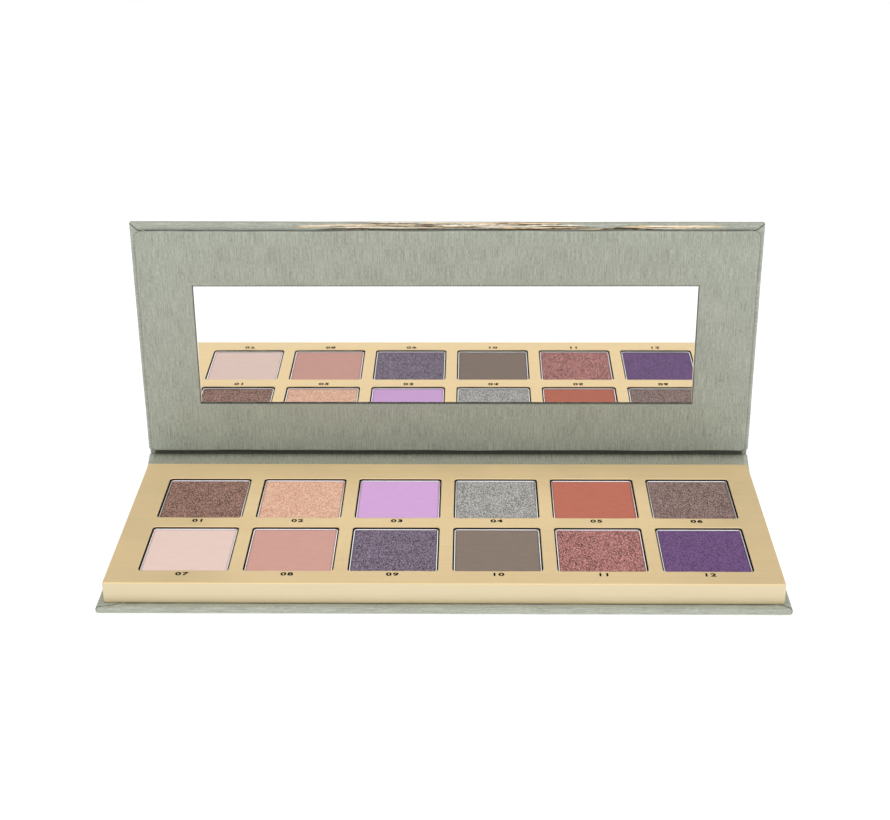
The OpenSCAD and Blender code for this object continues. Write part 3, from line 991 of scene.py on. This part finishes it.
mirror = make_piece(
    "lid_mirror_sheet",
    plate_patches((MIRROR_X[0] + MIRROR_GAP, MIRROR_X[1] - MIRROR_GAP, MIRROR_Y[0] + MIRROR_GAP,
                   MIRROR_Y[1] - MIRROR_GAP), COVER_T + 0.8, 0.12, 12.0,
                  foot=[(0.0, COVER_T + 0.1)], corners=(0.2,) * 4, edge=[0.0, 0.02, 0.05, 0.09, 0.14, 0.3]),
    lambda p: on_lid(tilted(p)), mirror_silver, sharp=30)
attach(mirror, "lid")
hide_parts("mirror_glass")

# ---- the gold foil tray ----

windows = []
for number in range(1, 13):
    low, high = node_box(f"pan_{number:02d}")
    windows.append(((low[0] + high[0]) / 2, (low[1] + high[1]) / 2))
pan_low, pan_high = node_box("pan_01")
PAN_HALF = (pan_high[0] - pan_low[0]) / 2
PAN_GAP = 0.4
WINDOW_HALF = PAN_HALF + PAN_GAP
WINDOW_R = 1.2
CELL_X, CELL_Y = 29.6 / 2, 31.4 / 2          # half the pitch of the windows
TRAY_TOP = tray_high[2]
FOIL_R = 0.38
# Rings round a window: (distance outside it, height over the tray's top)
LIP = [(-0.05, -0.26), (-0.055, -0.20), (-0.04, -0.13), (0.0, -0.07), (0.05, -0.025), (0.11, 0.0),
       (0.19, 0.015), (0.32, 0.025), (0.5, 0.022), (0.8, 0.008), (1.2, 0.0)]
ARC_STEPS = 8
STRAIGHT_STEPS = 12


def window_ring(outset):
    """A rounded square ring round the origin, and the same ring out at the cell's border."""
    half, radius = WINDOW_HALF + outset, WINDOW_R + outset
    straight = half - radius
    corner_angle = math.atan2(CELL_Y - straight, CELL_X - straight)
    angles = np.concatenate([np.linspace(0, corner_angle, ARC_STEPS // 2 + 1),
                             np.linspace(corner_angle, math.pi / 2, ARC_STEPS // 2 + 1)[1:]])
    shares = np.linspace(0, 1, STRAIGHT_STEPS + 1)[1:-1]
    ring, border = [], []
    for quarter, (sx, sy) in enumerate(((1, 1), (-1, 1), (-1, -1), (1, -1))):
        turn_x, turn_y, order = (-1, 1, angles) if quarter % 2 == 0 else (1, -1, angles[::-1])
        for a in order:
            c, s = math.cos(a), math.sin(a)
            reach = min((CELL_X - straight) / max(c, 1e-9), (CELL_Y - straight) / max(s, 1e-9))
            for line, r in ((ring, radius), (border, reach)):
                line.append((sx * (straight + r * c), sy * (straight + r * s)))
        # the straight run to the next quarter
        for line in (ring, border):
            x, y = line[-1]
            line += [(x + (turn_x * x - x) * f, y + (turn_y * y - y) * f) for f in shares]
    return np.array(ring), np.array(border)


def foil_drop(x, y):
    """Height of the tray's top below its flat level: round edges, and a little unevenness."""
    d = np.minimum.reduce([x - tray_low[0], tray_high[0] - x, y - tray_low[1], tray_high[1] - y])
    return round_drop(d, FOIL_R) + 0.025 * (wobble(x, y, 12.0, 51) + 0.6) * np.clip(d / 1.0, 0, 1)


MARGIN_EDGE = np.array([0.0, 0.03, 0.08, 0.15, 0.24, 0.38, 0.6, 0.9, 1.4])
OVERLAP = 4.0              # width of the foil's folded-over ends on the short walls


def margin(outer, inner):
    """Stations over a margin of the tray, in rising order, with the fine ones at its outer end."""
    sign = 1 if inner > outer else -1
    edge = outer + sign * MARGIN_EDGE
    return np.concatenate([edge, np.linspace(edge[-1], inner, 4)[1:]])[::sign]


def tray_patches():
    patches = Patches()
    border_x, border_y = set(), set()
    for cx, cy in windows:
        rings = []
        for outset, height in LIP:
            ring, border = window_ring(outset)
            x, y = ring[:, 0] + cx, ring[:, 1] + cy
            # the die has pressed the front lip down a little, and not evenly
            front = smooth_step((-ring[:, 1] - 0.7 * WINDOW_HALF) / (0.3 * WINDOW_HALF))
            sag = 0.07 * front * (0.6 + 0.8 * wobble(x, y, 6.0, 52)) * (1 if outset < 0.5 else 0.3)
            rings.append(np.stack([x, y, TRAY_TOP + height - sag - foil_drop(x, y)], axis=1))
        x, y = border[:, 0] + cx, border[:, 1] + cy
        rings.append(np.stack([x, y, TRAY_TOP - foil_drop(x, y)], axis=1))
        grid = np.array(rings)
        patches.add(np.concatenate([grid, grid[:, :1]], axis=1))
        border_x |= {round(float(v), 5) for v, w in zip(x, y) if abs(abs(w - cy) - CELL_Y) < 1e-6}
        border_y |= {round(float(w), 5) for v, w in zip(x, y) if abs(abs(v - cx) - CELL_X) < 1e-6}
    inner_x, inner_y = np.array(sorted(border_x)), np.array(sorted(border_y))
    left, right = margin(tray_low[0], inner_x[0]), margin(tray_high[0], inner_x[-1])
    front, back = margin(tray_low[1], inner_y[0]), margin(tray_high[1], inner_y[-1])

    strips = [(xs, ys) for xs in (left, right) for ys in (front, inner_y, back)]
    for xs, ys in strips + [(inner_x, front), (inner_x, back)]:
        gx, gy = np.meshgrid(xs, ys, indexing="ij")
        patches.add(np.stack([gx, gy, TRAY_TOP - foil_drop(gx, gy)], axis=-1))
    all_x = np.concatenate([left[:-1], inner_x, right[1:]])
    all_y = np.concatenate([front[:-1], inner_y, back[1:]])
    z_top, z_foot = TRAY_TOP - FOIL_R, COVER_T + 0.03
    zs = [z_top, z_top - 0.6, (z_top * 2 + z_foot) / 3, (z_top + 2 * z_foot) / 3, z_foot + 0.6,
          z_foot + 0.2, z_foot]
    bulge = [0.0, 0.01, 0.03, 0.03, 0.01, 0.0, -0.12]

    def wall(run, axis, place, out_sign, seed):
        """A wall along the stations `run`; it faces the axis's direction, or the opposite one."""
        near_end = np.minimum(run - run.min(), run.max() - run)
        rows = []
        for z, out in zip(zs, bulge):
            uneven = 0.05 * wobble(run, z * 2, 14.0, seed) * np.clip(near_end / 2, 0, 1) * (z < z_top)
            folded = near_end < (OVERLAP if axis == 0 else -1)
            overlap = 0.05 * folded * np.clip(near_end / 0.5, 0, 1) * (z < z_top)
            push = out * np.clip(near_end / 1.0, 0, 1) + uneven + overlap
            if z == z_foot:
                push = np.full_like(run, out)
            tuck = max(0, -out)
            row = np.full((len(run), 3), z)
            row[:, axis] = place + out_sign * push
            row[:, 1 - axis] = np.clip(run, tray_low[1 - axis] + tuck, tray_high[1 - axis] - tuck)
            rows.append(row)
        patches.add(np.array(rows))

    wall(all_y, 0, tray_low[0], -1, 61)
    wall(all_y, 0, tray_high[0], 1, 62)
    wall(all_x, 1, tray_low[1], -1, 63)
    wall(all_x, 1, tray_high[1], 1, 64)
    return patches


tray = make_piece(
    "tray_gold_foil",
    tray_patches(),
    lambda p: round_corners(p, tray_low[0], tray_high[0], tray_low[1], tray_high[1], (0.5,) * 4),
    gold_foil, sharp=42, shell=0.18)
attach(tray, "base")
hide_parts("tray_foil_paper")

# ---- pans and powders ----

PAN_R = 1.0
PAN_WALL = 0.35


def ring_at(cx, cy, half, radius, z, arcs=7, run=6):
    points = []
    for quarter in range(4):
        start = quarter * math.pi / 2
        ox, oy = (half - radius) * (1, -1, -1, 1)[quarter], (half - radius) * (1, 1, -1, -1)[quarter]
        for k in range(arcs + 1):
            a = start + k * math.pi / 2 / arcs
            points.append((cx + ox + radius * math.cos(a), cy + oy + radius * math.sin(a), z))
        last = points[-1]
        span = 2 * (half - radius)
        dx, dy = ((-1, 0), (0, -1), (1, 0), (0, 1))[quarter]
        for k in range(1, run):
            points.append((last[0] + dx * span * k / run, last[1] + dy * span * k / run, z))
    return np.array(points)


def pan_patches(cx, cy, z0, z1):
    """A drawn pan: round bottom edge, straight wall, rolled rim."""
    t = PAN_WALL
    outer = [(0.5, 0.0), (0.22, 0.04), (0.06, 0.18), (0.0, 0.45)]
    rings = [ring_at(cx, cy, PAN_HALF - i, PAN_R - i * 0.6, z0 + z) for i, z in outer]
    for a in (0, 30, 60, 90, 120, 150, 180):
        c, s = math.cos(math.radians(a)), math.sin(math.radians(a))
        inset = t / 2 * (1 - c)
        rings.append(ring_at(cx, cy, PAN_HALF - inset, PAN_R - inset, z1 - t / 2 + t / 2 * s))
    rings.append(ring_at(cx, cy, PAN_HALF - t, PAN_R - t, z0 + t + 0.3))
    rings.append(ring_at(cx, cy, PAN_HALF - t - 0.25, PAN_R - t - 0.15, z0 + t))
    grid = np.array(rings)
    patches = Patches()
    patches.add(np.concatenate([grid, grid[:, :1]], axis=1))
    patches.add_loop_cap(rings[0], flip=True)
    patches.add_loop_cap(rings[-1])
    return patches


POWDER_EDGE = [0.0, 0.06, 0.14, 0.24, 0.36, 0.5, 0.7, 1.0]


def powder_patches(cx, cy, half, z0, z1, number, kind):
    grain, relief = {"matte": (2.2, 0.012), "satin": (1.2, 0.02), "shimmer": (0.8, 0.035)}[kind]

    def surface(x, y):
        crown = 0.05 * (1 - ((x - cx) / half) ** 2) * (1 - ((y - cy) / half) ** 2)
        return crown + relief * wobble(x, y, grain, 70 + number) + 0.02 * wobble(x, y, 7.0, 90 + number)

    def border(d):
        """The pressing leaves a low border beside the pan's wall."""
        return 0.07 * (1 - smooth_step(d / 0.42))

    return plate_patches((cx - half, cx + half, cy - half, cy + half), z1 - 0.02, 0.3, 0.42,
                         foot=[(0.0, z0)], corners=(PAN_R - PAN_WALL,) * 4, relief=surface,
                         edge=POWDER_EDGE, border=border)


for number, (cx, cy) in enumerate(windows, 1):
    low, high = node_box(f"pan_{number:02d}")
    pan = make_piece(f"pan_{number:02d}_tinplate", pan_patches(cx, cy, low[2], high[2]), None, tinplate,
                     sharp=60)
    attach(pan, "base")
    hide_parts(f"pan_{number:02d}")
    low, high = node_box(f"powder_{number:02d}")
    kind = POWDERS[number - 1][1]
    cake = make_piece(f"powder_{number:02d}_pressed",
                      powder_patches(cx, cy, (high[0] - low[0]) / 2, low[2], high[2], number, kind),
                      None, SLOT_LOOKS[f"powder_{number:02d}"], sharp=50, uv=True)
    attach(cake, "base")
    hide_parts(f"powder_{number:02d}")

# ---- the printed numbers under the windows ----

LABEL_HEIGHT = 2.3
LABEL_STRETCH = 1.4
LABEL_BACK = 2.05          # from the window's front edge to the middle of a number

for number, (cx, cy) in enumerate(windows, 1):
    text = bpy.data.curves.new(f"number_{number:02d}", "FONT")
    text.body = f"{number:02d}"
    text.size = LABEL_HEIGHT * MM
    text.align_x, text.align_y = "CENTER", "CENTER"
    text.space_character = 1.2
    text.extrude = 0.00001
    text.offset = 0.00008
    text.resolution_u = 6
    label = add_object(f"number_{number:02d}", text)
    bpy.context.view_layer.update()
    mesh = bpy.data.meshes.new_from_object(label.evaluated_get(bpy.context.evaluated_depsgraph_get()))
    bpy.data.objects.remove(label)
    mesh.name = f"number_{number:02d}"
    mesh.transform(Matrix.Translation(Vector((cx, cy - WINDOW_HALF - LABEL_BACK, TRAY_TOP + 0.02)) * MM)
                   @ Matrix.Diagonal((LABEL_STRETCH, 1.0, 1.0, 1.0)))
    mesh.materials.clear()
    mesh.materials.append(ink)
    label = add_object(f"number_{number:02d}", mesh)
    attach(label, "base")

# ---- CAD pieces that stay: their own materials ----

for node in frame["nodes"].values():
    slot_name = node.data.materials[0].name.split(".")[0]
    node.data.materials.clear()
    node.data.materials.append(SLOT_LOOKS[slot_name])

# ---- floor, light and camera ----

FLOOR_HALF = 4.0
FLOOR_Z = -0.00012
floor_mesh = bpy.data.meshes.new("studio_floor")
floor_mesh.from_pydata([(sx * FLOOR_HALF, sy * FLOOR_HALF, FLOOR_Z)
                        for sx, sy in ((-1, -1), (1, -1), (1, 1), (-1, 1))], [], [(0, 1, 2, 3)])
floor = add_object("studio_floor", floor_mesh)
floor_look = Look("studio_paper", Roughness=0.9, Emission_Color=grey(1), Emission_Strength=0.4)
mottle = floor_look.noise(floor_look.coordinates((30.0,) * 3), detail=2.0)
floor_look.surface(Base_Color=floor_look.ramp(mottle, (0.3, grey(0.90)), (0.7, grey(0.92))))
floor_mesh.materials.append(floor_look.material)
scene = bpy.context.scene
world = bpy.data.worlds.new("studio")
scene.world = world
world.use_nodes = True
background = next(n for n in world.node_tree.nodes if n.type == "BACKGROUND")
background.inputs["Color"].default_value = (1.0, 1.0, 1.0, 1.0)
background.inputs["Strength"].default_value = 0.5
scene.view_settings.view_transform = "Standard"
scene.view_settings.look = "None"


def softbox(name, place, aim, size, power):
    lamp = bpy.data.lights.new(name, "AREA")
    lamp.shape = "RECTANGLE"
    lamp.size, lamp.size_y = size
    lamp.energy = power
    obj = add_object(name, lamp)
    obj.location = place
    obj.rotation_mode = "QUATERNION"
    obj.rotation_quaternion = (Vector(aim) - Vector(place)).to_track_quat("-Z", "Y")


softbox("top_softbox", (0.1, -0.3, 1.3), (0.0, 0.0, 0.0), (2.2, 0.8), 7.2)
softbox("front_softbox", (0.15, -1.3, 0.8), (0.0, 0.05, 0.04), (2.4, 0.6), 7.2)

CAMERA_PLACE = Vector((8.542, -442.947, 248.554)) * MM
CAMERA_PITCH, CAMERA_YAW, CAMERA_ROLL = (math.radians(a) for a in (24.675, -1.077, -0.3986))
CAMERA_LENS = 68.553       # for a 36 mm wide sensor
forward = Vector((math.sin(CAMERA_YAW) * math.cos(CAMERA_PITCH),
                  math.cos(CAMERA_YAW) * math.cos(CAMERA_PITCH), -math.sin(CAMERA_PITCH)))
right = Vector((math.cos(CAMERA_YAW), -math.sin(CAMERA_YAW), 0.0))
up = right.cross(forward)
right_rolled = math.cos(CAMERA_ROLL) * right + math.sin(CAMERA_ROLL) * up
up_rolled = -math.sin(CAMERA_ROLL) * right + math.cos(CAMERA_ROLL) * up
camera_data = bpy.data.cameras.new("camera")
camera_data.lens, camera_data.sensor_width = CAMERA_LENS, 36.0
camera_data.clip_start, camera_data.clip_end = 0.01, 50.0
camera = add_object("camera", camera_data)
facing = Matrix((right_rolled, up_rolled, -forward)).transposed().to_4x4()
camera.matrix_world = Matrix.Translation(CAMERA_PLACE) @ facing
scene.camera = camera
